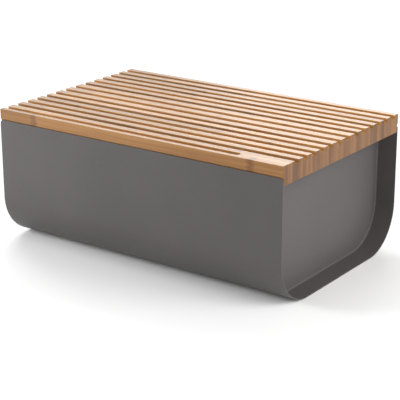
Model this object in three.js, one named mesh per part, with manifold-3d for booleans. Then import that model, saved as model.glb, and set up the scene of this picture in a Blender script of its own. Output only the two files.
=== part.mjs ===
// Bread bin: a strip of sheet steel folded into a wide U, two end panels set in
// from its open ends, and a lift-off bamboo lid that drops between the walls.
//
// Millimetres, +Z up. The origin is the middle of the underside, +X runs along
// the bin and -Y is its front.

import * as THREE from "three";
import { mergeVertices } from "three/addons/utils/BufferGeometryUtils.js";
import Module from "manifold-3d";

const wasm = await Module();
wasm.setup();

// ---------------------------------------------------------------- overall
const LENGTH = 340; // the lid and the shell, end to end
const WIDTH = 215; // outside of the front wall to outside of the back wall
const HEIGHT = 140; // underside of the bin to top of the lid

// ------------------------------------------------------------------ steel
const SHEET = 1; // thickness of the shell and of the end panels
const BEND_RADIUS = 46.5; // outside of the two large bends
const WALL_CORNER_RADIUS = 3.2; // upper corners of the front and back walls

// ------------------------------------------------------------- end panels
const PANEL_INSET = 21.7; // end of the shell to the panel's face
const PANEL_FLANGE = 12; // depth of the edge turned inwards
const PANEL_EDGE_RADIUS = 2.6; // outside of the bend between face and flange
const WELD_GAP = 0.3; // flange to shell, all round

// -------------------------------------------------------------------- lid
const LID_THICKNESS = 19;
const LIP_THICKNESS = 10.8; // upper layer, which covers the tops of the walls
const LIP_SETBACK = 0.5; // lip inside the outer faces of the walls
const TONGUE_CLEARANCE = 0.7; // lower layer to the inner faces of the walls
const LEDGE_GAP = 0.3; // underside of the lid to the ledges of the end panels
const SHADOW_GAP = 0.6; // tops of the walls to the underside of the lip
const EDGE_CHAMFER = 0.6; // broken edges of the board

const STAVE_COUNT = 30; // bamboo staves glued edge to edge
const GLUE_LINE = 0.1;

const GROOVE_COUNT = 14;
const GROOVE_WIDTH = 6.5;
const GROOVE_DEPTH = 3;
const FRONT_LAND = 5.3; // front edge of the lid to the first groove
const BACK_LAND = 7.6; // last groove to the back edge of the lid
const WIDE_LANDS = 3; // lands in the middle that are wider than the others
const WIDE_LAND_EXTRA = 1.6;
const STOPPED_GROOVE_LAND = 52; // plain wood at the right of the first groove

// --------------------------------------------------------------- fineness
const BEND_STEPS = 9; // half the facets of one large bend
const SMALL_ROUND_STEPS = 3;
const PANEL_EDGE_STEPS = 3;
const OVERCUT = 1; // how far a cutting tool runs past what it cuts

// ---------------------------------------------------------------- derived
const LID_UNDERSIDE = HEIGHT - LID_THICKNESS;
const LIP_WIDTH = WIDTH - 2 * LIP_SETBACK;
const TONGUE_WIDTH = WIDTH - 2 * (SHEET + TONGUE_CLEARANCE);
const WALL_TOP = HEIGHT - LIP_THICKNESS - SHADOW_GAP;
const LEDGE_HEIGHT = LID_UNDERSIDE - LEDGE_GAP;

// ----------------------------------------------------------------- finish
const POWDER_COAT = { color: "#6d6968", roughness: 0.55, metalness: 0.1 };
const BAMBOO_TONES = ["#b88a5e", "#a67a50", "#c1966a", "#ad8157", "#bb8c63"];

// Turns a shape's own axes and its extrusion direction into world axes.
const ALONG_X = new THREE.Matrix4().makeBasis(
  new THREE.Vector3(0, 1, 0),
  new THREE.Vector3(0, 0, 1),
  new THREE.Vector3(1, 0, 0),
);
const ALONG_Y = new THREE.Matrix4().makeBasis(
  new THREE.Vector3(1, 0, 0),
  new THREE.Vector3(0, 0, 1),
  new THREE.Vector3(0, -1, 0),
);

/** Makes a solid that manifold can cut from a closed three.js geometry. */
function toSolid(geometry) {
  const bare = geometry.clone();
  bare.deleteAttribute("normal");
  bare.deleteAttribute("uv");
  const merged = mergeVertices(bare);
  const mesh = new wasm.Mesh({
    numProp: 3,
    vertProperties: new Float32Array(merged.attributes.position.array),
    triVerts: new Uint32Array(merged.index.array),
  });
  return new wasm.Manifold(mesh);
}

/** Makes a three.js geometry with flat facets from a manifold solid. */
function toGeometry(solid) {
  const mesh = solid.getMesh();
  const geometry = new THREE.BufferGeometry();
  geometry.setAttribute("position", new THREE.BufferAttribute(mesh.vertProperties, 3));
  geometry.setIndex(new THREE.BufferAttribute(mesh.triVerts, 1));
  geometry.computeVertexNormals();
  return geometry;
}

/** Extrudes a shape about the middle of its depth and lays it along an axis. */
function prism(shape, depth, axes, curveSegments = SMALL_ROUND_STEPS) {
  const geometry = new THREE.ExtrudeGeometry(shape, { depth, curveSegments, bevelEnabled: false });
  geometry.translate(0, 0, -depth / 2);
  geometry.applyMatrix4(axes);
  return toSolid(geometry);
}

/** A box given by its lowest and highest corners. */
function block(low, high) {
  const geometry = new THREE.BoxGeometry(high[0] - low[0], high[1] - low[1], high[2] - low[2]);
  geometry.translate((low[0] + high[0]) / 2, (low[1] + high[1]) / 2, (low[2] + high[2]) / 2);
  return toSolid(geometry);
}

/** Outline of an upright U filled to its top, with two round lower corners. */
function filledU(halfWidth, bottom, top, radius) {
  const shape = new THREE.Shape();
  shape.moveTo(-halfWidth, top);
  shape.lineTo(-halfWidth, bottom + radius);
  shape.absarc(-halfWidth + radius, bottom + radius, radius, Math.PI, 1.5 * Math.PI, false);
  shape.lineTo(halfWidth - radius, bottom);
  shape.absarc(halfWidth - radius, bottom + radius, radius, 1.5 * Math.PI, 2 * Math.PI, false);
  shape.lineTo(halfWidth, top);
  shape.closePath();
  return shape;
}

/** The sliver that leaves a round upper corner when it is cut off the shell. */
function cornerOffcut() {
  const end = LENGTH / 2;
  const radius = WALL_CORNER_RADIUS;
  const shape = new THREE.Shape();
  shape.moveTo(end - radius, WALL_TOP + OVERCUT);
  shape.lineTo(end - radius, WALL_TOP);
  shape.absarc(end - radius, WALL_TOP - radius, radius, Math.PI / 2, 0, true);
  shape.lineTo(end + OVERCUT, WALL_TOP - radius);
  shape.lineTo(end + OVERCUT, WALL_TOP + OVERCUT);
  shape.closePath();
  return prism(shape, WIDTH + 2 * OVERCUT, ALONG_Y, 2 * SMALL_ROUND_STEPS);
}

/** Front wall, floor and back wall, folded from one sheet. */
function bodyShell() {
  const outer = filledU(WIDTH / 2, 0, WALL_TOP, BEND_RADIUS);
  const inner = filledU(WIDTH / 2 - SHEET, SHEET, WALL_TOP + OVERCUT, BEND_RADIUS - SHEET);
  const offcut = cornerOffcut();
  return prism(outer, LENGTH, ALONG_X, BEND_STEPS)
    .subtract(prism(inner, LENGTH + 2 * OVERCUT, ALONG_X, BEND_STEPS))
    .subtract(offcut)
    .subtract(offcut.rotate([0, 0, 180]));
}

/** A filled U lying along X whose face at x = 0 has a rounded rim. */
function roundedPlug(shape, length, rimRadius) {
  const geometry = new THREE.ExtrudeGeometry(shape, {
    depth: length,
    curveSegments: BEND_STEPS,
    bevelThickness: rimRadius,
    bevelSize: rimRadius,
    bevelOffset: -rimRadius,
    bevelSegments: PANEL_EDGE_STEPS,
  });
  geometry.translate(0, 0, -length - rimRadius);
  geometry.applyMatrix4(ALONG_X);
  return toSolid(geometry);
}

/** An end panel: a pan with its face at x = 0 and its flange towards -X. */
function endPanel() {
  const rim = SHEET + WELD_GAP;
  const outline = filledU(WIDTH / 2 - rim, rim, LEDGE_HEIGHT, BEND_RADIUS - rim);
  const inside = rim + SHEET;
  const hollow = filledU(WIDTH / 2 - inside, inside, LEDGE_HEIGHT - SHEET, BEND_RADIUS - inside);
  const hollowSolid = roundedPlug(hollow, PANEL_FLANGE + OVERCUT, PANEL_EDGE_RADIUS - SHEET);
  const trimmed = roundedPlug(outline, PANEL_FLANGE, PANEL_EDGE_RADIUS).subtract(
    block([-3 * PANEL_FLANGE, -WIDTH, -HEIGHT], [-PANEL_FLANGE, WIDTH, 2 * HEIGHT]),
  );
  return trimmed.subtract(hollowSolid.translate([-SHEET, 0, 0]));
}

/** Section of the board across its staves: the lip above, the tongue below. */
function boardSection() {
  const lip = LIP_WIDTH / 2;
  const tongue = TONGUE_WIDTH / 2;
  const shoulder = LID_THICKNESS - LIP_THICKNESS;
  const shape = new THREE.Shape();
  shape.moveTo(-tongue + EDGE_CHAMFER, 0);
  shape.lineTo(tongue - EDGE_CHAMFER, 0);
  shape.lineTo(tongue, EDGE_CHAMFER);
  shape.lineTo(tongue, shoulder);
  shape.lineTo(lip, shoulder);
  shape.lineTo(lip, LID_THICKNESS - EDGE_CHAMFER);
  shape.lineTo(lip - EDGE_CHAMFER, LID_THICKNESS);
  shape.lineTo(-lip + EDGE_CHAMFER, LID_THICKNESS);
  shape.lineTo(-lip, LID_THICKNESS - EDGE_CHAMFER);
  shape.lineTo(-lip, shoulder);
  shape.lineTo(-tongue, shoulder);
  shape.lineTo(-tongue, EDGE_CHAMFER);
  shape.closePath();
  return shape;
}

/** Side view of the board: a long bar with its four corners broken. */
function boardSide() {
  const end = LENGTH / 2;
  const shape = new THREE.Shape();
  shape.moveTo(-end + EDGE_CHAMFER, 0);
  shape.lineTo(end - EDGE_CHAMFER, 0);
  shape.lineTo(end, EDGE_CHAMFER);
  shape.lineTo(end, LID_THICKNESS - EDGE_CHAMFER);
  shape.lineTo(end - EDGE_CHAMFER, LID_THICKNESS);
  shape.lineTo(-end + EDGE_CHAMFER, LID_THICKNESS);
  shape.lineTo(-end, LID_THICKNESS - EDGE_CHAMFER);
  shape.lineTo(-end, EDGE_CHAMFER);
  shape.closePath();
  return shape;
}

/** Middle lines of the grooves, from the front of the lid to its back. */
function grooveCentres() {
  const first = -LIP_WIDTH / 2 + FRONT_LAND + GROOVE_WIDTH / 2;
  const last = LIP_WIDTH / 2 - BACK_LAND - GROOVE_WIDTH / 2;
  const steps = GROOVE_COUNT - 1;
  const pitch = (last - first - WIDE_LANDS * WIDE_LAND_EXTRA) / steps;
  const narrowBefore = (steps - WIDE_LANDS) / 2;
  return Array.from({ length: GROOVE_COUNT }, (_, i) => {
    const wideBefore = THREE.MathUtils.clamp(i - narrowBefore, 0, WIDE_LANDS);
    return first + i * pitch + wideBefore * WIDE_LAND_EXTRA;
  });
}

/** Cutter for a groove that runs out through both ends of the board. */
function throughGroove(y) {
  const reach = LENGTH / 2 + OVERCUT;
  return block(
    [-reach, y - GROOVE_WIDTH / 2, LID_THICKNESS - GROOVE_DEPTH],
    [reach, y + GROOVE_WIDTH / 2, LID_THICKNESS + OVERCUT],
  );
}

/** Cutter for the first groove, which stops in a round end before the right. */
function stoppedGroove(y) {
  const radius = GROOVE_WIDTH / 2;
  const start = -LENGTH / 2 - OVERCUT;
  const centre = LENGTH / 2 - STOPPED_GROOVE_LAND - radius;
  const height = GROOVE_DEPTH + OVERCUT;
  const shape = new THREE.Shape();
  shape.moveTo(start, y - radius);
  shape.lineTo(centre, y - radius);
  shape.absarc(centre, y, radius, -Math.PI / 2, Math.PI / 2, false);
  shape.lineTo(start, y + radius);
  shape.closePath();
  const geometry = new THREE.ExtrudeGeometry(shape, {
    depth: height,
    curveSegments: 2 * SMALL_ROUND_STEPS,
    bevelEnabled: false,
  });
  geometry.translate(0, 0, LID_THICKNESS - GROOVE_DEPTH);
  return toSolid(geometry);
}

/** The whole grooved board, its underside at z = 0. */
function board() {
  const blank = prism(boardSection(), LENGTH, ALONG_X);
  const bar = prism(boardSide(), LIP_WIDTH, ALONG_Y);
  const [front, ...others] = grooveCentres();
  return others.reduce(
    (wood, y) => wood.subtract(throughGroove(y)),
    blank.intersect(bar).subtract(stoppedGroove(front)),
  );
}

/** The part of the board that is one stave, counted from the front. */
function stave(wood, index) {
  const width = LIP_WIDTH / STAVE_COUNT;
  const front = -LIP_WIDTH / 2 + index * width;
  const glueFront = index === 0 ? -OVERCUT : GLUE_LINE / 2;
  const glueBack = index === STAVE_COUNT - 1 ? -OVERCUT : GLUE_LINE / 2;
  const slab = block(
    [-LENGTH, front + glueFront, -OVERCUT],
    [LENGTH, front + width - glueBack, LID_THICKNESS + OVERCUT],
  );
  return wood.intersect(slab);
}

/** A named mesh in its own material. */
function part(name, solid, finish) {
  const mesh = new THREE.Mesh(toGeometry(solid), new THREE.MeshStandardMaterial(finish));
  mesh.name = name;
  return mesh;
}

/** The steel bin: the shell and its two end panels. */
function bin() {
  const group = new THREE.Group();
  group.add(part("body_shell", bodyShell(), POWDER_COAT));

  const right = part("end_panel_right", endPanel(), POWDER_COAT);
  right.position.x = LENGTH / 2 - PANEL_INSET;
  group.add(right);

  const left = part("end_panel_left", endPanel(), POWDER_COAT);
  left.position.x = -right.position.x;
  left.rotation.z = Math.PI;
  group.add(left);
  return group;
}

/** The bamboo lid, one mesh to each stave. */
function lid() {
  const group = new THREE.Group();
  group.position.z = LID_UNDERSIDE;
  const wood = board();
  for (let i = 0; i < STAVE_COUNT; i += 1) {
    const name = `lid_stave_${String(i + 1).padStart(2, "0")}`;
    const color = BAMBOO_TONES[(i * 2) % BAMBOO_TONES.length];
    group.add(part(name, stave(wood, i), { color, roughness: 0.6, metalness: 0 }));
  }
  return group;
}

const breadBin = new THREE.Group();
breadBin.add(bin(), lid());

export default breadBin;
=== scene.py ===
"""Bread bin: a folded steel shell, two inset end panels and a grooved bamboo lid.

The looks of the bin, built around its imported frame. Metres, +Z up, +X along the
bin and -Y its front, as in the frame.
"""

import logging
import math
import random
from collections.abc import Callable, Sequence
from dataclasses import dataclass, field
from enum import Enum

import bmesh
import bpy
from mathutils import Matrix, Vector


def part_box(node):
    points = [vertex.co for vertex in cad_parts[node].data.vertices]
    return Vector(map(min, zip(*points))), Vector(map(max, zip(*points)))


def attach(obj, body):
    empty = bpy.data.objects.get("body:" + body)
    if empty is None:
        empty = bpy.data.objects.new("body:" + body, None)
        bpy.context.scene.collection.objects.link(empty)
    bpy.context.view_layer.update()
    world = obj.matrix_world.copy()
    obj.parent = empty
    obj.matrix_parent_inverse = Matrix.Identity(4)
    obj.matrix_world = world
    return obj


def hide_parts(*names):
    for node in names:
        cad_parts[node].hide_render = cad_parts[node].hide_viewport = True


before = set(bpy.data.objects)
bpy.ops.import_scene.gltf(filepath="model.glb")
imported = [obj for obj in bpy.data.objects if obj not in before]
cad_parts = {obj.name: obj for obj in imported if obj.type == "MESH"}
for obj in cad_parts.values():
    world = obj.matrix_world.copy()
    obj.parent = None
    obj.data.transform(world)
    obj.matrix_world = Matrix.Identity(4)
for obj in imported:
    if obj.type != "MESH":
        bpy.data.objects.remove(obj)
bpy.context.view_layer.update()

log = logging.getLogger("bread_bin")

MM = 0.001
SAME_POINT = 0.002 * MM
CUT_TOLERANCE = 0.0005 * MM
FLAT_DEGREES = 0.2
SMOOTH_DEGREES = 40
Rgb = tuple[float, float, float]
Socket = bpy.types.NodeSocket
Value = Socket | float | int | bool | tuple[float, ...]


class Body(Enum):
    """The two bodies of the frame: what stands still and what lifts off."""

    BIN = "bin"
    LID = "lid"


class Slot(Enum):
    """The record's material slots."""

    POWDER_COAT = "powder_coat"
    BAMBOO = "bamboo"


class End(Enum):
    """The two ends of the bin, as the sign of their X."""

    LEFT = -1
    RIGHT = 1


class StaveData(Enum):
    """Names of the values that every stave's mesh carries for its finish."""

    SEED = "stave_seed"
    TONE = "stave_tone"
    ACROSS = "stave_across"
    SKIN = "skin_side"
    END_GRAIN = "end_grain"
    FIRST_KNUCKLE = "first_knuckle"
    SECOND_KNUCKLE = "second_knuckle"
    KNUCKLE_STRENGTH = "knuckle_strength"


# ------------------------------------------------------------------ node trees


@dataclass
class NodeNet:
    """A node tree, with short ways to add nodes and join them up."""

    tree: bpy.types.NodeTree

    def add(
        self, kind: str, inputs: dict[str | int, Value] | None = None, **settings: object
    ) -> bpy.types.Node:
        """Adds one node.

        Args:
            kind: the node's Blender type.
            inputs: values or sockets for its inputs, by name or number.
            settings: its other properties.

        Returns:
            The new node.
        """
        node = self.tree.nodes.new(kind)
        for name, value in settings.items():
            setattr(node, name, value)
        for key, value in (inputs or {}).items():
            self.feed(node.inputs[key], value)
        return node

    def feed(self, socket: Socket, value: Value) -> None:
        """Links a socket to another one, or sets its value.

        Args:
            socket: the input to feed.
            value: an output socket, or a plain value.
        """
        if isinstance(value, bpy.types.NodeSocket):
            self.tree.links.new(value, socket)
        else:
            socket.default_value = value


@dataclass
class ShaderNet(NodeNet):
    """A material's node tree."""

    @classmethod
    def of(cls, material: bpy.types.Material) -> "ShaderNet":
        """Empties a material's tree and wraps it.

        Args:
            material: the material.

        Returns:
            Its tree, with no nodes.
        """
        material.use_nodes = True
        material.node_tree.nodes.clear()
        return cls(material.node_tree)

    def math(self, operation: str, *values: Value, clamp: bool = False) -> Socket:
        """One Math node.

        Args:
            operation: the node's operation.
            values: its inputs, in order.
            clamp: whether the result is held between 0 and 1.

        Returns:
            Its result.
        """
        node = self.add("ShaderNodeMath", dict(enumerate(values)), operation=operation, use_clamp=clamp)
        return node.outputs[0]

    def blend(self, factor: Value, low: Value, high: Value, way: str = "MIX") -> Socket:
        """A mix of two colours.

        Args:
            factor: 0 for low, 1 for high.
            low: the first colour.
            high: the second colour.
            way: the node's blend type.

        Returns:
            The mixed colour.
        """
        node = self.add("ShaderNodeMix", data_type="RGBA", blend_type=way)
        factor_in, low_in, high_in = node.inputs[0], node.inputs[6], node.inputs[7]
        self.feed(factor_in, factor)
        self.feed(low_in, rgba(low) if isinstance(low, tuple) else low)
        self.feed(high_in, rgba(high) if isinstance(high, tuple) else high)
        return node.outputs[2]

    def span(
        self, value: Value, start: float, end: float, low: float = 0.0, high: float = 1.0
    ) -> Socket:
        """A smooth step from one value to another.

        Args:
            value: what is compared.
            start: where the step starts.
            end: where it ends.
            low: the result up to its start.
            high: the result from its end on.

        Returns:
            The step's result.
        """
        inputs = {0: value, 1: start, 2: end, 3: low, 4: high}
        node = self.add("ShaderNodeMapRange", inputs, interpolation_type="SMOOTHSTEP")
        return node.outputs[0]

    def noise(
        self, vector: Value, scale: Sequence[float], detail: float = 2.0, roughness: float = 0.5
    ) -> Socket:
        """Noise on stretched coordinates.

        Args:
            vector: the coordinates, in metres.
            scale: repeats for each metre along X, Y and Z.
            detail: the noise's octaves.
            roughness: how strong the finer octaves are.

        Returns:
            The noise, between 0 and 1.
        """
        mapping = self.add("ShaderNodeMapping", {"Vector": vector, "Scale": tuple(scale)})
        inputs = {"Vector": mapping.outputs[0], "Scale": 1.0, "Detail": detail, "Roughness": roughness}
        return self.add("ShaderNodeTexNoise", inputs).outputs["Fac"]

    def attribute(self, name: StaveData) -> Socket:
        """A value that the mesh carries."""
        return self.add("ShaderNodeAttribute", attribute_name=name.value).outputs["Fac"]

    def finish(self, shader: bpy.types.Node) -> None:
        """Joins a shader to the material's output."""
        output = self.add("ShaderNodeOutputMaterial")
        self.tree.links.new(shader.outputs[0], output.inputs["Surface"])


def rgba(colour: Sequence[float]) -> tuple[float, float, float, float]:
    """A colour with full alpha."""
    return (colour[0], colour[1], colour[2], 1.0)


# -------------------------------------------------------------------- finishes


@dataclass(frozen=True)
class PowderCoat:
    """Matt powder coat: a warm grey skin with a very fine leathery texture."""

    name: str = "warm_grey_powder_coat"
    colour: Rgb = (0.0845, 0.076, 0.0768)
    darker: Rgb = (0.0725, 0.065, 0.0657)
    speck: Rgb = (0.130, 0.121, 0.119)
    roughness: tuple[float, float] = (0.47, 0.61)
    pebble_pitch: float = 0.9 * MM
    grain_pitch: float = 0.28 * MM
    cloud_repeats: float = 9.0
    cloud_share: float = 0.6
    pebble_share: float = 0.7
    speck_strength: float = 0.5
    bump_strength: float = 0.6
    relief: float = 0.030 * MM
    ior: float = 1.40

    def build(self) -> bpy.types.Material:
        """Makes the material.

        Returns:
            The finished material.
        """
        material = bpy.data.materials.new(self.name)
        net = ShaderNet.of(material)
        place = net.add("ShaderNodeTexCoord").outputs["Object"]
        cloud = net.noise(place, [self.cloud_repeats] * 3, detail=3)
        pebble = net.noise(place, [1 / self.pebble_pitch] * 3, detail=2, roughness=0.55)
        grain = net.noise(place, [1 / self.grain_pitch] * 3, detail=1)

        shade = self._share(net, cloud, grain, self.cloud_share)
        colour = net.blend(net.span(shade, 0.35, 0.65), self.darker, self.colour)
        specks = net.span(grain, 0.70, 0.80, 0.0, self.speck_strength)
        colour = net.blend(specks, colour, self.speck)

        height = self._share(net, pebble, grain, self.pebble_share)
        bump = net.add(
            "ShaderNodeBump",
            {"Strength": self.bump_strength, "Distance": self.relief, "Height": height},
        )
        inputs = {
            "Base Color": colour,
            "Roughness": net.span(pebble, 0.3, 0.7, *self.roughness),
            "IOR": self.ior,
            "Normal": bump.outputs[0],
        }
        net.finish(net.add("ShaderNodeBsdfPrincipled", inputs))
        return material

    def _share(self, net: ShaderNet, first: Socket, second: Socket, share: float) -> Socket:
        """Two noises added in shares that make one.

        Args:
            net: the material's tree.
            first: the first noise.
            second: the second noise.
            share: the first noise's share.

        Returns:
            The sum.
        """
        rest = net.math("MULTIPLY", second, 1.0 - share)
        return net.math("ADD", net.math("MULTIPLY", first, share), rest)


@dataclass(frozen=True)
class Bamboo:
    """Oiled caramel bamboo, its fibres along X.

    Each stave has a tone and a grain of its own, up to two knuckles across it,
    and end grain that darkens towards the side where the culm's skin was.
    """

    name: str = "oiled_bamboo"
    pale: Rgb = (0.430, 0.217, 0.068)
    brown: Rgb = (0.300, 0.138, 0.036)
    streak: Rgb = (0.165, 0.066, 0.017)
    knuckle: Rgb = (0.100, 0.040, 0.013)
    end_pale: Rgb = (0.232, 0.106, 0.032)
    end_brown: Rgb = (0.080, 0.033, 0.009)
    bundle_pitch: float = 1.2 * MM
    fibre_pitch: float = 0.34 * MM
    dot_pitch: float = 0.50 * MM
    knuckle_line: float = 0.75 * MM
    knuckle_reach: float = 5.5 * MM
    knuckle_wander: float = 7.5 * MM
    wander_repeats: tuple[float, float, float] = (40, 330, 260)
    blotch_repeats: tuple[float, float, float] = (520, 900, 900)
    cloud_repeats: tuple[float, float, float] = (6, 60, 60)
    layer_repeats: tuple[float, float, float] = (0, 1500, 30)
    fibre_run: float = 24
    bundle_run: float = 10
    first_internode: float = 0.80
    glue_share: float = 0.03
    tone_range: tuple[float, float] = (0.88, 1.12)
    end_tone: float = 0.6
    zone_strength: float = 0.78
    line_strength: float = 0.85
    rim_strength: float = 0.45
    dark_fibre: float = 0.42
    pale_fibre: float = 0.45
    dot_strength: float = 0.45
    dot_radii: tuple[float, float] = (0.18, 0.40)
    dot_scatter: float = 0.85
    end_squash: float = 0.7
    skin_shade: float = -0.35
    layer_contrast: float = 2.2
    layer_level: float = -0.52
    pit_depth: float = 0.8
    glue_strength: float = 0.25
    end_glue_extra: float = 0.35
    seed_spread: tuple[float, float, float] = (1.7, 0.61, 0.83)
    roughness: float = 0.38
    bump_strength: float = 0.5
    relief: float = 0.05 * MM
    ior: float = 1.42

    def build(self) -> bpy.types.Material:
        """Makes the material.

        Returns:
            The finished material.
        """
        material = bpy.data.materials.new(self.name)
        net = ShaderNet.of(material)
        place = net.add("ShaderNodeTexCoord").outputs["Object"]
        shifted = self._own_place(net, place)
        line, zone, internode = self._knuckles(net, place)
        across = 1 / self.fibre_pitch
        fibre = net.noise(shifted, (self.fibre_run, across, across), detail=2)
        long_grain = self._long_grain(net, shifted, fibre, line, zone, internode)
        end_grain, dots = self._end_grain(net, shifted)

        ends = net.attribute(StaveData.END_GRAIN)
        colour = net.blend(ends, long_grain, end_grain)
        colour = net.blend(self._glue(net, ends), colour, self.streak)

        pits = net.math("MULTIPLY", net.math("MULTIPLY", dots, ends), -self.pit_depth)
        height = net.math("ADD", net.math("MULTIPLY", fibre, net.math("SUBTRACT", 1.0, ends)), pits)
        bump = net.add(
            "ShaderNodeBump",
            {"Strength": self.bump_strength, "Distance": self.relief, "Height": height},
        )
        inputs = {
            "Base Color": colour,
            "Roughness": self.roughness,
            "IOR": self.ior,
            "Normal": bump.outputs[0],
        }
        net.finish(net.add("ShaderNodeBsdfPrincipled", inputs))
        return material

    def _own_place(self, net: ShaderNet, place: Socket) -> Socket:
        """Coordinates of the stave's own piece of bamboo, moved by its seed.

        Args:
            net: the material's tree.
            place: the object's coordinates.

        Returns:
            The moved coordinates.
        """
        seed = net.attribute(StaveData.SEED)
        offset = net.add("ShaderNodeVectorMath", {0: seed, 1: self.seed_spread}, operation="MULTIPLY")
        shifted = net.add("ShaderNodeVectorMath", {0: place, 1: offset.outputs[0]}, operation="ADD")
        return shifted.outputs[0]

    def _knuckles(self, net: ShaderNet, place: Socket) -> tuple[Socket, Socket, Socket]:
        """Masks of the two knuckles, where the culm's walls once crossed.

        Args:
            net: the material's tree.
            place: the object's coordinates.

        Returns:
            The dark wavy line at the knuckle's middle, the blotchy zone round it, and
            the brightness of the culm on this side of it.
        """
        along = net.add("ShaderNodeSeparateXYZ", {0: place}).outputs["X"]
        wander = net.math("SUBTRACT", net.noise(place, self.wander_repeats, detail=2), 0.5)
        wavy = net.math("MULTIPLY_ADD", wander, self.knuckle_wander, along)
        blotch = net.noise(place, self.blotch_repeats, detail=2)
        lines, zones = [], []
        for data in (StaveData.FIRST_KNUCKLE, StaveData.SECOND_KNUCKLE):
            gap = net.math("ABSOLUTE", net.math("SUBTRACT", wavy, net.attribute(data)))
            rim = net.math("ABSOLUTE", net.math("SUBTRACT", gap, 0.5 * self.knuckle_reach))
            middle = net.span(gap, 0.4 * self.knuckle_line, 1.8 * self.knuckle_line, 1.0, 0.0)
            faint = net.span(rim, 0.0, 1.6 * self.knuckle_line, self.rim_strength, 0.0)
            both = net.math("MAXIMUM", middle, faint)
            lines.append(net.math("MULTIPLY", both, net.span(blotch, 0.3, 0.55)))
            zone = net.span(gap, 0.4 * self.knuckle_reach, self.knuckle_reach, 1.0, 0.0)
            zones.append(net.math("MULTIPLY", zone, net.span(blotch, 0.25, 0.7, 1.0, 0.5)))
        beyond = net.math("SUBTRACT", wavy, net.attribute(StaveData.FIRST_KNUCKLE))
        internode = net.span(beyond, -self.knuckle_reach, self.knuckle_reach, self.first_internode, 1.0)
        strength = net.attribute(StaveData.KNUCKLE_STRENGTH)
        line = net.math("MULTIPLY", net.math("MAXIMUM", *lines), strength)
        zone = net.math("MULTIPLY", net.math("MAXIMUM", *zones), strength)
        return line, zone, internode

    def _long_grain(
        self, net: ShaderNet, shifted: Socket, fibre: Socket, line: Socket, zone: Socket, internode: Socket
    ) -> Socket:
        """Colour where the fibres run along the surface.

        Args:
            net: the material's tree.
            shifted: the stave's own coordinates.
            fibre: noise of the single fibres.
            line: mask of the knuckles' dark lines.
            zone: mask of the zones round them.
            internode: brightness of the length between two knuckles.

        Returns:
            The colour.
        """
        across = 1 / self.bundle_pitch
        bundle = net.noise(shifted, (self.bundle_run, across, across), detail=3)
        cloud = net.noise(shifted, self.cloud_repeats, detail=2)
        base = net.math("MULTIPLY_ADD", cloud, 0.5, net.math("MULTIPLY", bundle, 0.5))
        colour = net.blend(net.span(base, 0.36, 0.64), self.brown, self.pale)
        colour = net.blend(net.span(fibre, 0.38, 0.22, 0.0, self.dark_fibre), colour, self.streak)
        colour = net.blend(net.span(fibre, 0.62, 0.78, 0.0, self.pale_fibre), colour, self.pale)
        tone = net.span(net.attribute(StaveData.TONE), 0.0, 1.0, *self.tone_range)
        tone = net.math("MULTIPLY", tone, internode)
        colour = net.add("ShaderNodeHueSaturation", {"Value": tone, "Color": colour}).outputs[0]
        colour = net.blend(net.math("MULTIPLY", zone, self.zone_strength), colour, self.streak)
        return net.blend(net.math("MULTIPLY", line, self.line_strength), colour, self.knuckle)

    def _end_grain(self, net: ShaderNet, shifted: Socket) -> tuple[Socket, Socket]:
        """Colour and dots where the fibres are cut across.

        Args:
            net: the material's tree.
            shifted: the stave's own coordinates.

        Returns:
            The colour, and the mask of the dark dots.
        """
        flat = {"Vector": shifted, "Scale": (0.0, 1.0, self.end_squash)}
        sides = net.add("ShaderNodeMapping", flat).outputs[0]
        cells = net.add(
            "ShaderNodeTexVoronoi",
            {"Vector": sides, "Scale": 1 / self.dot_pitch, "Randomness": self.dot_scatter},
        )
        skin = net.attribute(StaveData.SKIN)
        reach = net.span(skin, 0.0, 1.0, *self.dot_radii)
        dots = net.span(net.math("SUBTRACT", reach, cells.outputs["Distance"]), -0.05, 0.10)
        layers = net.noise(sides, self.layer_repeats, detail=3, roughness=0.6)
        banded = net.math("MULTIPLY_ADD", layers, self.layer_contrast, self.layer_level)
        shade = net.math("MULTIPLY_ADD", skin, self.skin_shade, banded)
        off_middle = net.math("SUBTRACT", net.attribute(StaveData.TONE), 0.5)
        tone = net.math("MULTIPLY", off_middle, self.end_tone)
        pale = net.math("ADD", shade, tone, clamp=True)
        colour = net.blend(pale, self.end_brown, self.end_pale)
        return net.blend(net.math("MULTIPLY", dots, self.dot_strength), colour, self.end_brown), dots

    def _glue(self, net: ShaderNet, ends: Socket) -> Socket:
        """Mask of the thin dark line where two staves are glued.

        Args:
            net: the material's tree.
            ends: 1 on the board's ends.

        Returns:
            The mask, stronger on the board's ends.
        """
        across = net.attribute(StaveData.ACROSS)
        edge = net.math("MINIMUM", across, net.math("SUBTRACT", 1.0, across))
        strength = net.math("MULTIPLY_ADD", ends, self.end_glue_extra, self.glue_strength)
        line = net.span(edge, 0.3 * self.glue_share, self.glue_share, 1.0, 0.0)
        return net.math("MULTIPLY", line, strength)


# ---------------------------------------------------------------- mesh helpers


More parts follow.
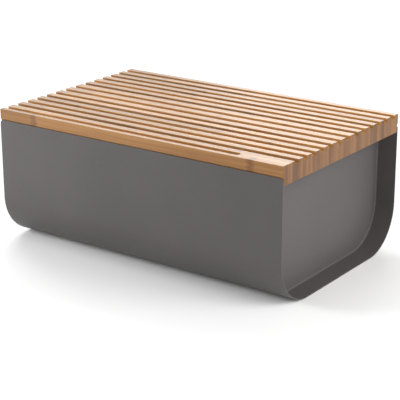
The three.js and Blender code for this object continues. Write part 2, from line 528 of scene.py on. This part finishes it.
@dataclass
class GeometryTree(NodeNet):
    """A geometry node tree with named inputs, run once to make a plain mesh."""

    sizes: dict[str, float | int] = field(default_factory=dict)
    sockets: dict[str, str] = field(default_factory=dict)
    inputs: bpy.types.Node | None = None

    @classmethod
    def named(cls, name: str, sizes: dict[str, float | int]) -> "GeometryTree":
        """Starts a tree.

        Args:
            name: the tree's name.
            sizes: its inputs and their values. Whole numbers are counts.

        Returns:
            The tree, with its inputs in place.
        """
        tree = bpy.data.node_groups.new(name, "GeometryNodeTree")
        tree.interface.new_socket("Geometry", in_out="OUTPUT", socket_type="NodeSocketGeometry")
        made = cls(tree, sizes)
        for label, value in sizes.items():
            kind = "NodeSocketInt" if isinstance(value, int) else "NodeSocketFloat"
            socket = tree.interface.new_socket(label, in_out="INPUT", socket_type=kind)
            made.sockets[label] = socket.identifier
        made.inputs = tree.nodes.new("NodeGroupInput")
        return made

    def size(self, label: str) -> Socket:
        """The named input."""
        return self.inputs.outputs[label]

    def math(self, operation: str, *values: Value) -> Socket:
        """One Math node's result."""
        return self.add("ShaderNodeMath", dict(enumerate(values)), operation=operation).outputs[0]

    def vector(self, x: Value, y: Value, z: Value) -> Socket:
        """A vector of three values."""
        return self.add("ShaderNodeCombineXYZ", {0: x, 1: y, 2: z}).outputs[0]

    def bar(self, size: Socket, centre: Value) -> Socket:
        """A box of a size, moved to its centre."""
        cube = self.add("GeometryNodeMeshCube", {"Size": size})
        return self.add("GeometryNodeTransform", {0: cube.outputs[0], "Translation": centre}).outputs[0]

    def run(self, geometry: Socket, material: bpy.types.Material) -> bpy.types.Mesh:
        """Ends the tree and makes its mesh.

        Args:
            geometry: what the tree has made.
            material: the finish of the mesh.

        Returns:
            A plain mesh.
        """
        real = self.add("GeometryNodeRealizeInstances", {0: geometry}).outputs[0]
        dressed = self.add("GeometryNodeSetMaterial", {0: real})
        dressed.inputs["Material"].default_value = material
        output = self.tree.nodes.new("NodeGroupOutput")
        self.tree.links.new(dressed.outputs[0], output.inputs[0])
        holder = bpy.data.objects.new(self.tree.name, bpy.data.meshes.new(self.tree.name))
        bpy.context.scene.collection.objects.link(holder)
        modifier = holder.modifiers.new("tree", "NODES")
        modifier.node_group = self.tree
        for label, value in self.sizes.items():
            modifier[self.sockets[label]] = value
        mesh = plain_copy(holder)
        bpy.data.objects.remove(holder)
        return mesh


def plain_copy(piece: bpy.types.Object) -> bpy.types.Mesh:
    """The mesh of an object as its modifiers leave it.

    Args:
        piece: the object.

    Returns:
        A mesh of its own, without modifiers.
    """
    graph = bpy.context.evaluated_depsgraph_get()
    graph.update()
    return bpy.data.meshes.new_from_object(piece.evaluated_get(graph), depsgraph=graph)


def reshape(mesh: bpy.types.Mesh, change: Callable[[bmesh.types.BMesh], None]) -> None:
    """Edits a mesh through bmesh.

    Args:
        mesh: the mesh to change.
        change: what to do to it.
    """
    form = bmesh.new()
    form.from_mesh(mesh)
    change(form)
    form.to_mesh(mesh)
    form.free()


def merge_and_flatten(form: bmesh.types.BMesh) -> None:
    """Joins doubled corners, removes needless edges and turns faces outwards.

    Args:
        form: the mesh.
    """
    bmesh.ops.remove_doubles(form, verts=form.verts, dist=SAME_POINT)
    flat = math.radians(FLAT_DEGREES)
    bmesh.ops.dissolve_limit(form, angle_limit=flat, verts=form.verts, edges=form.edges)
    bmesh.ops.recalc_face_normals(form, faces=form.faces)


def break_edges(
    form: bmesh.types.BMesh, width: float, segments: int, least_turn: float,
    chosen: Callable[[bmesh.types.BMEdge], bool] = lambda edge: True,
) -> None:
    """Rounds a mesh's sharp edges.

    Args:
        form: the mesh.
        width: how far the rounding reaches from each edge.
        segments: its facets.
        least_turn: the smallest turn, in degrees, that counts as sharp.
        chosen: which of the sharp edges to round.
    """
    limit = math.radians(least_turn)
    sharp = [e for e in form.edges if e.is_manifold and e.calc_face_angle(0.0) > limit and chosen(e)]
    bmesh.ops.bevel(
        form, geom=sharp, offset=width, offset_type="OFFSET", segments=segments, profile=0.5,
        affect="EDGES", clamp_overlap=True,
    )


def outfit(
    mesh: bpy.types.Mesh, name: str, body: Body, replaced: Sequence[str]
) -> bpy.types.Object:
    """Smooths a finished mesh and hands it to the frame.

    Args:
        mesh: the mesh, in its place, with its finish.
        name: the piece's name.
        body: the body that it moves with.
        replaced: the CAD nodes that it stands for.

    Returns:
        The piece.
    """
    mesh.name = name
    for face in mesh.polygons:
        face.use_smooth = True
    mesh.set_sharp_from_angle(angle=math.radians(SMOOTH_DEGREES))
    piece = bpy.data.objects.new(name, mesh)
    bpy.context.scene.collection.objects.link(piece)
    weighted = piece.modifiers.new("weighted", "WEIGHTED_NORMAL")
    weighted.keep_sharp = True
    piece.data = plain_copy(piece)
    piece.modifiers.clear()
    bpy.data.meshes.remove(mesh)
    piece.data.name = name
    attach(piece, body.value)
    if replaced:
        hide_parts(*replaced)
    log.info("%s: %d faces on %s", name, len(piece.data.polygons), body.value)
    return piece


# ------------------------------------------------------------------- the shell


@dataclass
class FoldedShell:
    """Front wall, floor and back wall: one sheet with two large bends."""

    node: str = "body_shell"
    sheet: float = 1.0 * MM
    bend_radius: float = 46.5 * MM
    bend_facets: int = 40
    corner_radius: float = 3.8 * MM
    corner_facets: int = 8
    edge_radius: float = 0.32 * MM

    def build(self, finish: bpy.types.Material) -> bpy.types.Object:
        """Folds the sheet, rounds its corners and edges, and dresses it.

        Args:
            finish: the powder coat.

        Returns:
            The shell.
        """
        low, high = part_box(self.node)
        mesh = self._fold(low, high, finish)
        reshape(mesh, lambda form: self._round(form, low, high))
        return outfit(mesh, "folded_shell", Body.BIN, [self.node])

    def _fold(self, low: Vector, high: Vector, finish: bpy.types.Material) -> bpy.types.Mesh:
        """Sweeps the sheet's section along the U.

        Args:
            low: the lowest corner of the shell's box.
            high: its highest corner.
            finish: the powder coat.

        Returns:
            The folded sheet with square edges.
        """
        sizes = {
            "Half width": (high.y - low.y - self.sheet) / 2,
            "Wall top": high.z,
            "Floor": low.z + self.sheet / 2,
            "Length": high.x - low.x,
            "Sheet": self.sheet,
            "Bend radius": self.bend_radius - self.sheet / 2,
            "Bend facets": self.bend_facets,
        }
        net = GeometryTree.named("folded_sheet", sizes)
        half, top, floor = (net.size(label) for label in ("Half width", "Wall top", "Floor"))
        front = net.math("MULTIPLY", half, -1.0)
        corners = [(front, top), (front, floor), (half, floor), (half, top)]
        index = net.add("GeometryNodeInputIndex").outputs[0]
        switch = net.add("GeometryNodeIndexSwitch", data_type="VECTOR")
        for _ in corners[2:]:
            switch.index_switch_items.new()
        net.feed(switch.inputs["Index"], index)
        for number, (y, z) in enumerate(corners):
            net.feed(switch.inputs[number + 1], net.vector(0.0, y, z))
        line = net.add("GeometryNodeMeshLine", {"Count": len(corners)})
        route = net.add("GeometryNodeSetPosition", {0: line.outputs[0], "Position": switch.outputs[0]})
        curve = net.add("GeometryNodeMeshToCurve", {0: route.outputs[0]})
        bent = net.add(
            "GeometryNodeFilletCurve",
            {0: curve.outputs[0], "Radius": net.size("Bend radius"), "Count": net.size("Bend facets")},
            mode="POLY",
        )
        section = net.add(
            "GeometryNodeCurvePrimitiveQuadrilateral",
            {"Width": net.size("Length"), "Height": net.size("Sheet")},
        )
        swept = net.add(
            "GeometryNodeCurveToMesh",
            {"Curve": bent.outputs[0], "Profile Curve": section.outputs[0], "Fill Caps": True},
        )
        return net.run(swept.outputs[0], finish)

    def _round(self, form: bmesh.types.BMesh, low: Vector, high: Vector) -> None:
        """Rounds the walls' upper corners and then every edge of the sheet.

        Args:
            form: the folded sheet.
            low: the lowest corner of the shell's box; not used.
            high: its highest corner.
        """
        bmesh.ops.remove_doubles(form, verts=form.verts, dist=SAME_POINT)
        bmesh.ops.recalc_face_normals(form, faces=form.faces)
        near = 0.1 * MM

        def at_corner(edge: bmesh.types.BMEdge) -> bool:
            """Whether an edge runs through the sheet at an upper corner."""
            return all(v.co.z > high.z - near and abs(v.co.x) > high.x - near for v in edge.verts) and (
                abs(edge.verts[0].co.y - edge.verts[1].co.y) > near
            )

        corners = [edge for edge in form.edges if at_corner(edge)]
        bmesh.ops.bevel(
            form, geom=corners, offset=self.corner_radius, offset_type="OFFSET",
            segments=self.corner_facets, profile=0.5, affect="EDGES",
        )
        break_edges(form, self.edge_radius, segments=2, least_turn=50)


# -------------------------------------------------------------- the end panels


@dataclass
class EndPanel:
    """A shallow pan: a flat face with its edge turned inwards all round."""

    end: End
    sheet: float = 1.0 * MM
    bend_radius: float = 45.2 * MM
    ledge_corner: float = 4.0 * MM
    rim_radius: float = 1.5 * MM
    edge_radius: float = 0.3 * MM
    seam: float = 0.25 * MM
    bead_face: float = 1.9 * MM
    bead_wall: float = 1.3 * MM
    bead_past_rim: float = 0.04 * MM
    bead_facets: int = 6
    bead_back_facets: int = 4
    bead_back_turn: float = 265.0
    bead_stop: float = 2.0 * MM
    bend_facets: int = 36
    corner_facets: int = 8
    rim_facets: int = 6
    edge_facets: int = 3

    @property
    def node(self) -> str:
        """The CAD node that the panel stands for."""
        return f"end_panel_{self.end.name.lower()}"

    def build(self, finish: bpy.types.Material) -> list[bpy.types.Object]:
        """Presses the pan, fills its seam and dresses both.

        Args:
            finish: the powder coat.

        Returns:
            The end panel and its seam.
        """
        low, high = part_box(self.node)
        side = self.end.name.lower()
        pan = self._skin(
            [
                [self._place(point, depth, low, high) for point in self._outline(inset, low, high)]
                for inset, depth in self._section(high.x - low.x)
            ],
            finish,
        )
        lines = [
            [self._place(point, depth, low, high) for point in self._route(inset, low, high)]
            for inset, depth in self._bead_section()
        ]
        bead = self._skin([list(ring) for ring in zip(*lines)], finish)
        return [
            outfit(pan, f"{side}_end_panel", Body.BIN, [self.node]),
            outfit(bead, f"{side}_end_seam", Body.BIN, []),
        ]

    def _skin(self, rings: list[list[Vector]], finish: bpy.types.Material) -> bpy.types.Mesh:
        """Joins closed rings of points into one closed mesh.

        Args:
            rings: rings with the same number of points, in order.
            finish: the powder coat.

        Returns:
            The mesh, its first and last rings filled.
        """
        mesh = bpy.data.meshes.new(self.node)
        form = bmesh.new()
        loops = [[form.verts.new(point) for point in ring] for ring in rings]
        for loop, following in zip(loops, loops[1:]):
            for i in range(len(loop)):
                j = (i + 1) % len(loop)
                form.faces.new((loop[i], loop[j], following[j], following[i]))
        form.faces.new(loops[0])
        form.faces.new(loops[-1])
        bmesh.ops.recalc_face_normals(form, faces=form.faces)
        form.to_mesh(mesh)
        form.free()
        mesh.materials.append(finish)
        return mesh

    def _bead_section(self) -> list[tuple[float, float]]:
        """The section of the filled seam between the panel's rim and the shell.

        Returns:
            Pairs of the inset from the outline and the depth behind the face.
        """
        wall, rim = -self.bead_past_rim, self.rim_radius
        steps = [i / self.bead_facets * math.pi / 2 for i in range(self.bead_facets + 1)]
        hollow = [
            (self.bead_face - (self.bead_face - wall) * math.sin(a), -self.bead_wall * (1 - math.cos(a)))
            for a in steps
        ]
        return [*hollow, *arc(rim, rim, rim, 180, self.bead_back_turn, self.bead_back_facets)]

    def _section(self, depth: float) -> list[tuple[float, float]]:
        """The pan's section, from the middle of its face round to its inside.

        Args:
            depth: how deep the pan is.

        Returns:
            Pairs of the inset from the outline and the depth behind the face.
        """
        rim, sheet, edge = self.rim_radius, self.sheet, self.edge_radius
        outer = arc(rim, rim, rim, 270, 180, self.rim_facets)
        lip_out = arc(edge, depth - edge, edge, 180, 90, self.edge_facets)
        lip_in = arc(sheet - edge, depth - edge, edge, 90, 0, self.edge_facets)
        inner = arc(rim, rim, rim - sheet, 180, 270, self.rim_facets)
        return [*outer, *lip_out, *lip_in, *inner]

    def _outline(self, inset: float, low: Vector, high: Vector) -> list[tuple[float, float]]:
        """The pan's outline, drawn in by an inset.

        Args:
            inset: distance inside the pan's outer edge.
            low: the lowest corner of the panel's box.
            high: its highest corner.

        Returns:
            Points in Y and Z.
        """
        half = high.y + self.seam - inset
        bottom = low.z - self.seam + inset
        top = high.z - inset
        bend = self.bend_radius + self.seam - inset
        corner = self.ledge_corner - inset
        return [
            *arc(half - corner, top - corner, corner, 90, 0, self.corner_facets),
            *arc(half - bend, bottom + bend, bend, 0, -90, self.bend_facets),
            *arc(bend - half, bottom + bend, bend, -90, -180, self.bend_facets),
            *arc(corner - half, top - corner, corner, 180, 90, self.corner_facets),
        ]

    def _route(self, inset: float, low: Vector, high: Vector) -> list[tuple[float, float]]:
        """The way of the seam: down one side, along the floor and up the other.

        Args:
            inset: distance inside the pan's outer edge.
            low: the lowest corner of the panel's box.
            high: its highest corner.

        Returns:
            Points in Y and Z.
        """
        half = high.y + self.seam - inset
        top = high.z - self.bead_stop
        first = self.corner_facets + 1
        bends = self._outline(inset, low, high)[first:-first]
        return [(half, top), *bends, (-half, top)]

    def _place(self, point: tuple[float, float], depth: float, low: Vector, high: Vector) -> Vector:
        """A point of the pan in the frame.

        Args:
            point: its Y and Z.
            depth: its depth behind the face.
            low: the lowest corner of the panel's box.
            high: its highest corner.

        Returns:
            The point.
        """
        x = high.x - depth if self.end is End.RIGHT else low.x + depth
        return Vector((x, point[0], point[1]))


def arc(
    x: float, y: float, radius: float, start: float, stop: float, facets: int
) -> list[tuple[float, float]]:
    """Points on an arc.

    Args:
        x: the first coordinate of its centre.
        y: the second coordinate of its centre.
        radius: its radius.
        start: the angle of its first point, in degrees.
        stop: the angle of its last point, in degrees.
        facets: how many steps it takes.

    Returns:
        The points, both ends among them.
    """
    steps = (math.radians(start + (stop - start) * i / facets) for i in range(facets + 1))
    return [(x + radius * math.cos(a), y + radius * math.sin(a)) for a in steps]


# --------------------------------------------------------------------- the lid


@dataclass
class StaveLid:
    """The bamboo board: staves glued edge to edge, rebated and grooved."""

    staves: int = 30
    lip: float = 10.8 * MM
    tongue_side: float = 1.2 * MM
    groove_count: int = 14
    groove_width: float = 6.5 * MM
    groove_depth: float = 3.0 * MM
    front_land: float = 5.3 * MM
    back_land: float = 7.6 * MM
    wide_lands: int = 3
    wide_land_extra: float = 1.6 * MM
    stopped_land: float = 52.0 * MM
    overcut: float = 1.0 * MM
    round_end_facets: int = 48
    edge_radius: float = 0.45 * MM
    first_knuckle: tuple[float, float] = (-0.02, 0.24)
    knuckle_spacing: tuple[float, float] = (0.23, 0.29)
    front_knuckles: tuple[float, float] = (-0.125, 0.135)
    front_tone: float = 0.30
    knuckle_strength: tuple[float, float] = (0.10, 0.55)
    end_facing: float = 0.6
    seed: int = 11

    def build(self, finish: bpy.types.Material) -> list[bpy.types.Object]:
        """Mills the board, parts it into its staves and dresses them.

        Args:
            finish: the bamboo.

        Returns:
            One piece for each stave.
        """
        nodes = [f"lid_stave_{i + 1:02d}" for i in range(self.staves)]
        boxes = [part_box(node) for node in nodes]
        low = Vector([min(box[0][i] for box in boxes) for i in range(3)])
        high = Vector([max(box[1][i] for box in boxes) for i in range(3)])
        board = self._mill(low, high, finish)
        reshape(board, self._ease)
        chance = random.Random(self.seed)
        pieces = []
        for index, node in enumerate(nodes):
            stave = self._part(board, index, low, high)
            self._grade(stave, index, low, high, chance)
            pieces.append(outfit(stave, f"bamboo_stave_{index + 1:02d}", Body.LID, [node]))
        bpy.data.meshes.remove(board)
        return pieces

    def _mill(self, low: Vector, high: Vector, finish: bpy.types.Material) -> bpy.types.Mesh:
        """Cuts the rebates and grooves into the blank board.

        Args:
            low: the lowest corner of the lid's box.
            high: its highest corner.
            finish: the bamboo.

        Returns:
            The board with square edges.
        """
        size = high - low
        first = low.y + self.front_land + self.groove_width / 2
        last = high.y - self.back_land - self.groove_width / 2
        steps = self.groove_count - 1
        sizes = {
            "Length": size.x,
            "Width": size.y,
            "Thickness": size.z,
            "Underside": low.z,
            "Lip": self.lip,
            "Tongue side": self.tongue_side,
            "Groove width": self.groove_width,
            "Groove depth": self.groove_depth,
            "First groove": first,
            "Groove pitch": (last - first - self.wide_lands * self.wide_land_extra) / steps,
            "Groove count": self.groove_count,
            "Wide lands": self.wide_lands,
            "Wide land extra": self.wide_land_extra,
            "Stopped land": self.stopped_land,
            "Overcut": self.overcut,
        }
        net = GeometryTree.named("grooved_board", sizes)
        blank, rebates = self._blank(net)
        cut = net.add("GeometryNodeMeshBoolean", {0: blank}, operation="DIFFERENCE", solver="EXACT")
        for cutter in (*rebates, self._through_grooves(net), *self._stopped_groove(net)):
            net.tree.links.new(cutter, cut.inputs[1])
        mesh = net.run(cut.outputs[0], finish)
        mesh.materials.clear()
        mesh.materials.append(finish)
        return mesh

    def _blank(self, net: GeometryTree) -> tuple[Socket, list[Socket]]:
        """The plain board, and the cutters of its two rebates.

        Args:
            net: the board's tree.

        Returns:
            The board and the cutters.
        """
        length, width, thickness = (net.size(label) for label in ("Length", "Width", "Thickness"))
        underside = net.size("Underside")
        middle = net.math("MULTIPLY_ADD", thickness, 0.5, underside)
        blank = net.bar(net.vector(length, width, thickness), net.vector(0.0, 0.0, middle))
        shoulder = net.math("SUBTRACT", thickness, net.size("Lip"))
        beyond = net.math("MULTIPLY_ADD", net.size("Overcut"), 2.0, length)
        side = net.size("Tongue side")
        cutter = net.vector(beyond, net.math("MULTIPLY", side, 2.0), net.math("MULTIPLY", shoulder, 2.0))
        edge = net.math("MULTIPLY", width, 0.5)
        front = net.math("MULTIPLY", edge, -1.0)
        return blank, [net.bar(cutter, net.vector(0.0, y, underside)) for y in (front, edge)]

    def _groove_top(self, net: GeometryTree) -> tuple[Socket, Socket]:
        """Height and middle of a groove's cutter.

        Args:
            net: the board's tree.

        Returns:
            Twice the groove's depth, and the level of the board's top.
        """
        level = net.math("ADD", net.size("Underside"), net.size("Thickness"))
        return net.math("MULTIPLY", net.size("Groove depth"), 2.0), level

    def _through_grooves(self, net: GeometryTree) -> Socket:
        """Cutters of all grooves but the first, a row with wider lands in its middle.

        Args:
            net: the board's tree.

        Returns:
            The cutters.
        """
        height, level = self._groove_top(net)
        index = net.add("GeometryNodeInputIndex").outputs[0]
        number = net.math("ADD", index, 1.0)
        lands = net.math("SUBTRACT", net.size("Groove count"), 1.0)
        before = net.math("MULTIPLY", net.math("SUBTRACT", lands, net.size("Wide lands")), 0.5)
        passed = net.math("MAXIMUM", net.math("SUBTRACT", number, before), 0.0)
        wide = net.math("MINIMUM", passed, net.size("Wide lands"))
        y = net.math("MULTIPLY_ADD", number, net.size("Groove pitch"), net.size("First groove"))
        y = net.math("MULTIPLY_ADD", wide, net.size("Wide land extra"), y)
        points = net.add("GeometryNodePoints", {"Count": lands, "Position": net.vector(0.0, y, level)})
        beyond = net.math("MULTIPLY_ADD", net.size("Overcut"), 2.0, net.size("Length"))
        cutter = net.vector(beyond, net.size("Groove width"), height)
        cube = net.add("GeometryNodeMeshCube", {"Size": cutter})
        row = net.add("GeometryNodeInstanceOnPoints", {0: points.outputs[0], "Instance": cube.outputs[0]})
        return net.add("GeometryNodeRealizeInstances", {0: row.outputs[0]}).outputs[0]

    def _stopped_groove(self, net: GeometryTree) -> list[Socket]:
        """Cutters of the first groove: a bar with a round end on its right.

        Args:
            net: the board's tree.

        Returns:
            The bar and the round end.
        """
        height, level = self._groove_top(net)
        width = net.size("Groove width")
        radius = net.math("MULTIPLY", width, 0.5)
        half = net.math("MULTIPLY", net.size("Length"), 0.5)
        stop = net.math("SUBTRACT", net.math("SUBTRACT", half, net.size("Stopped land")), radius)
        start = net.math("SUBTRACT", net.math("MULTIPLY", half, -1.0), net.size("Overcut"))
        middle = net.math("MULTIPLY", net.math("ADD", start, stop), 0.5)
        y = net.size("First groove")
        size = net.vector(net.math("SUBTRACT", stop, start), width, height)
        bar = net.bar(size, net.vector(middle, y, level))
        round_end = net.add(
            "GeometryNodeMeshCylinder",
            {"Vertices": self.round_end_facets, "Radius": radius, "Depth": height},
        )
        moved = net.add(
            "GeometryNodeTransform", {0: round_end.outputs[0], "Translation": net.vector(stop, y, level)}
        )
        return [bar, moved.outputs[0]]

    def _ease(self, form: bmesh.types.BMesh) -> None:
        """Breaks the board's outer edges, as sandpaper does.

        Args:
            form: the board.
        """
        merge_and_flatten(form)
        break_edges(
            form, self.edge_radius, segments=3, least_turn=30,
            chosen=lambda edge: edge.is_convex,
        )

    def _stave_width(self, low: Vector, high: Vector) -> float:
        """How wide one stave is, between two glued faces."""
        return (high.y - low.y) / self.staves

    def _part(self, board: bpy.types.Mesh, index: int, low: Vector, high: Vector) -> bpy.types.Mesh:
        """Cuts one stave out of the board.

        Args:
            board: the whole board.
            index: the stave's number, from the front.
            low: the lowest corner of the lid's box.
            high: its highest corner.

        Returns:
            The stave, closed at its glued faces.
        """
        width = self._stave_width(low, high)
        stave = board.copy()

        def slice_out(form: bmesh.types.BMesh) -> None:
            """Keeps what lies between the stave's two glued faces.

            Args:
                form: a copy of the board.
            """
            for number, outwards in ((index, -1), (index + 1, 1)):
                if 0 < number < self.staves:
                    everything = [*form.verts, *form.edges, *form.faces]
                    plane = Vector((0, low.y + number * width, 0))
                    bmesh.ops.bisect_plane(
                        form, geom=everything, plane_co=plane, plane_no=Vector((0, outwards, 0)),
                        clear_outer=True, dist=CUT_TOLERANCE,
                    )
                    rim = [edge for edge in form.edges if edge.is_boundary]
                    bmesh.ops.holes_fill(form, edges=rim, sides=0)
            bmesh.ops.recalc_face_normals(form, faces=form.faces)

        reshape(stave, slice_out)
        return stave

    def _grade(
        self, stave: bpy.types.Mesh, index: int, low: Vector, high: Vector, chance: random.Random
    ) -> None:
        """Gives a stave the values that its finish reads.

        Args:
            stave: the stave's mesh.
            index: its number, from the front.
            low: the lowest corner of the lid's box.
            high: its highest corner.
            chance: the lid's seeded random numbers.
        """
        width = self._stave_width(low, high)
        front = low.y + index * width
        first = low.x + chance.uniform(*self.first_knuckle)
        second = first + chance.uniform(*self.knuckle_spacing)
        seed, tone = chance.random(), chance.random()
        strength = chance.uniform(*self.knuckle_strength)
        if index == 0:
            first, second = self.front_knuckles
            tone, strength = self.front_tone, 1.0
        same_all_over = {
            StaveData.SEED: seed,
            StaveData.TONE: tone,
            StaveData.FIRST_KNUCKLE: first,
            StaveData.SECOND_KNUCKLE: second,
            StaveData.KNUCKLE_STRENGTH: strength,
        }
        for data, value in same_all_over.items():
            layer = stave.attributes.new(data.value, "FLOAT", "POINT")
            layer.data.foreach_set("value", [value] * len(stave.vertices))
        shares = [(v.co.y - front) / width for v in stave.vertices]
        across = stave.attributes.new(StaveData.ACROSS.value, "FLOAT", "POINT")
        across.data.foreach_set("value", shares)
        turned = chance.random() < 0.5
        skin = stave.attributes.new(StaveData.SKIN.value, "FLOAT", "POINT")
        skin.data.foreach_set("value", [1 - share if turned else share for share in shares])
        ends = stave.attributes.new(StaveData.END_GRAIN.value, "FLOAT", "CORNER")
        values = [
            float(abs(face.normal.x) > self.end_facing)
            for face in stave.polygons
            for _ in face.loop_indices
        ]
        ends.data.foreach_set("value", values)


# ------------------------------------------------------------------ the studio


@dataclass
class ViewCamera:
    """A long lens looking down on the bin's front and its right end."""

    place: tuple[float, float, float] = (0.7615, -1.0546, 0.4918)
    azimuth: float = 35.73
    elevation: float = 18.94
    roll: float = -0.18
    lens: float = 120.2
    sensor: float = 36.0
    nearest: float = 0.05
    farthest: float = 60.0

    def build(self) -> bpy.types.Object:
        """Makes the scene's camera.

        Returns:
            The camera.
        """
        data = bpy.data.cameras.new("view_camera")
        data.lens, data.sensor_width = self.lens, self.sensor
        data.clip_start, data.clip_end = self.nearest, self.farthest
        camera = bpy.data.objects.new("view_camera", data)
        bpy.context.scene.collection.objects.link(camera)
        turn = Matrix.Rotation(math.radians(self.azimuth), 4, "Z")
        tilt = Matrix.Rotation(math.radians(90 - self.elevation), 4, "X")
        roll = Matrix.Rotation(math.radians(self.roll), 4, "Z")
        camera.matrix_world = Matrix.Translation(self.place) @ turn @ tilt @ roll
        bpy.context.scene.camera = camera
        return camera


@dataclass
class SoftBox:
    """A large square lamp aimed at the bin."""

    name: str
    place: tuple[float, float, float]
    side: float
    power: float
    colour: Rgb = (1.0, 1.0, 1.0)
    aim: tuple[float, float, float] = (0.0, 0.0, 0.07)

    def build(self) -> None:
        """Hangs the lamp."""
        data = bpy.data.lights.new(self.name, "AREA")
        data.shape, data.size, data.energy, data.color = "SQUARE", self.side, self.power, self.colour
        lamp = bpy.data.objects.new(self.name, data)
        bpy.context.scene.collection.objects.link(lamp)
        lamp.location = self.place
        lamp.rotation_euler = (Vector(self.place) - Vector(self.aim)).to_track_quat("Z", "Y").to_euler()


@dataclass
class Studio:
    """A pale floor in a white room, lit by soft boxes all round the bin."""

    floor_reach: float = 12.0
    floor_drop: float = 0.2 * MM
    floor_roughness: float = 0.9
    floor_colour: Rgb = (0.86, 0.86, 0.86)
    sky: Rgb = (1.0, 1.0, 1.0)
    sky_strength: float = 0.42
    lamps: tuple[SoftBox, ...] = (
        SoftBox("back_box", (-0.9, 2.1, 0.95), 1.0, 15.5),
        SoftBox("left_back_box", (-1.3, 0.9, 1.2), 1.2, 20.5),
        SoftBox("left_front_box", (-0.62, -0.61, 0.38), 0.4, 5.7),
        SoftBox("right_box", (1.35, 0.35, 0.6), 0.75, 10.0),
        SoftBox("right_front_box", (0.75, -0.15, 0.45), 0.5, 3.6),
        SoftBox("front_box", (-0.5, -1.8, 1.2), 1.0, 2.5),
    )

    def build(self) -> None:
        """Lays the floor, lights the scene and sets how colours are shown."""
        self._floor()
        for lamp in self.lamps:
            lamp.build()
        world = bpy.data.worlds.new("white_room")
        world.use_nodes = True
        background = world.node_tree.nodes["Background"]
        background.inputs["Color"].default_value = rgba(self.sky)
        background.inputs["Strength"].default_value = self.sky_strength
        bpy.context.scene.world = world
        bpy.context.scene.view_settings.view_transform = "Standard"
        bpy.context.scene.view_settings.look = "None"

    def _floor(self) -> None:
        """Makes the pale floor, a hair under the bin."""
        reach, level = self.floor_reach, -self.floor_drop
        mesh = bpy.data.meshes.new("floor")
        signs = [(-1, -1), (1, -1), (1, 1), (-1, 1)]
        corners = [(x * reach, y * reach, level) for x, y in signs]
        mesh.from_pydata(corners, [], [(0, 1, 2, 3)])
        material = bpy.data.materials.new("pale_floor")
        net = ShaderNet.of(material)
        inputs = {"Base Color": rgba(self.floor_colour), "Roughness": self.floor_roughness}
        net.finish(net.add("ShaderNodeBsdfPrincipled", inputs))
        mesh.materials.append(material)
        floor = bpy.data.objects.new("floor", mesh)
        bpy.context.scene.collection.objects.link(floor)


def main() -> None:
    """Builds the bin, the lid and the studio, in that order."""
    logging.basicConfig(level=logging.INFO, format="%(name)s: %(message)s")
    ViewCamera().build()
    steel = PowderCoat().build()
    wood = Bamboo().build()
    FoldedShell().build(steel)
    for end in End:
        EndPanel(end).build(steel)
    StaveLid().build(wood)
    Studio().build()


if __name__ == "__main__":
    main()
